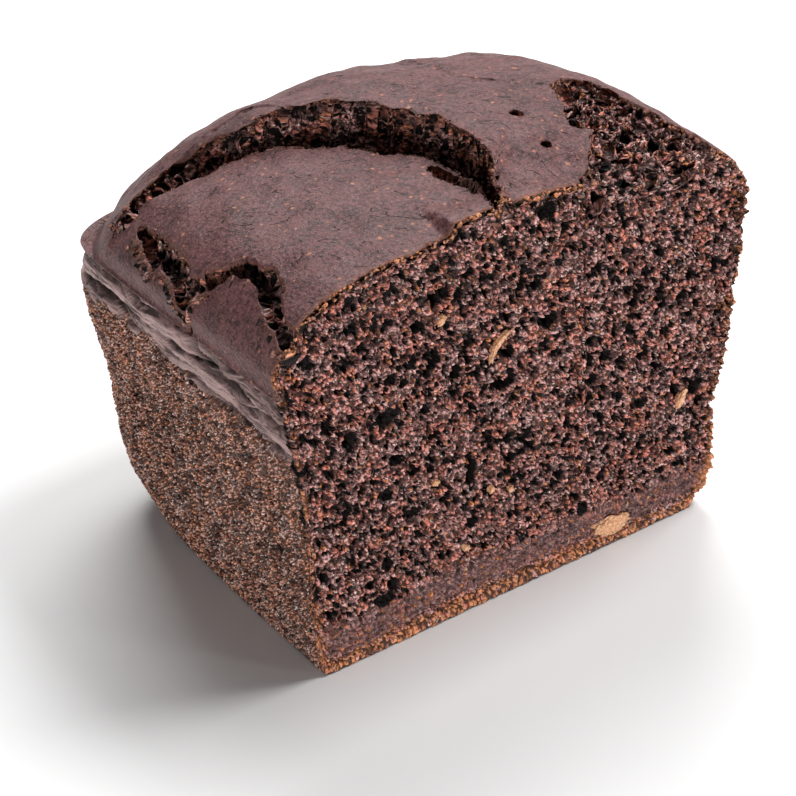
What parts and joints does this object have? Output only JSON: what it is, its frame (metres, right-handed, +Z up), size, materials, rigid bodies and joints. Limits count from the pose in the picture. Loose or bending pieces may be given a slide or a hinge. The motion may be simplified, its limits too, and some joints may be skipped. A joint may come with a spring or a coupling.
{
  "type": "chocolate beet cake",
  "caption": "Half of a dark chocolate loaf cake, cut across: porous cut face, risen cracked crust, tin-baked sides and a flat base.",
  "frame": {"origin": "middle of the box on the floor under the flat base", "axes": "+Z up, -Y out of the cut face, +Y towards the baked end, X across the loaf"},
  "size_m": [0.1062, 0.086, 0.0903],
  "materials": {
    "sponge": "dark chocolate sponge, moist, open crumb",
    "crust": "dark baked crust, satin",
    "wall_crumb": "brown tin-baked crumb, rough",
    "pale_bits": "pale grain, matte"
  },
  "bodies": {
    "root": {"cake": "sponge"}
  },
  "joints": []
}
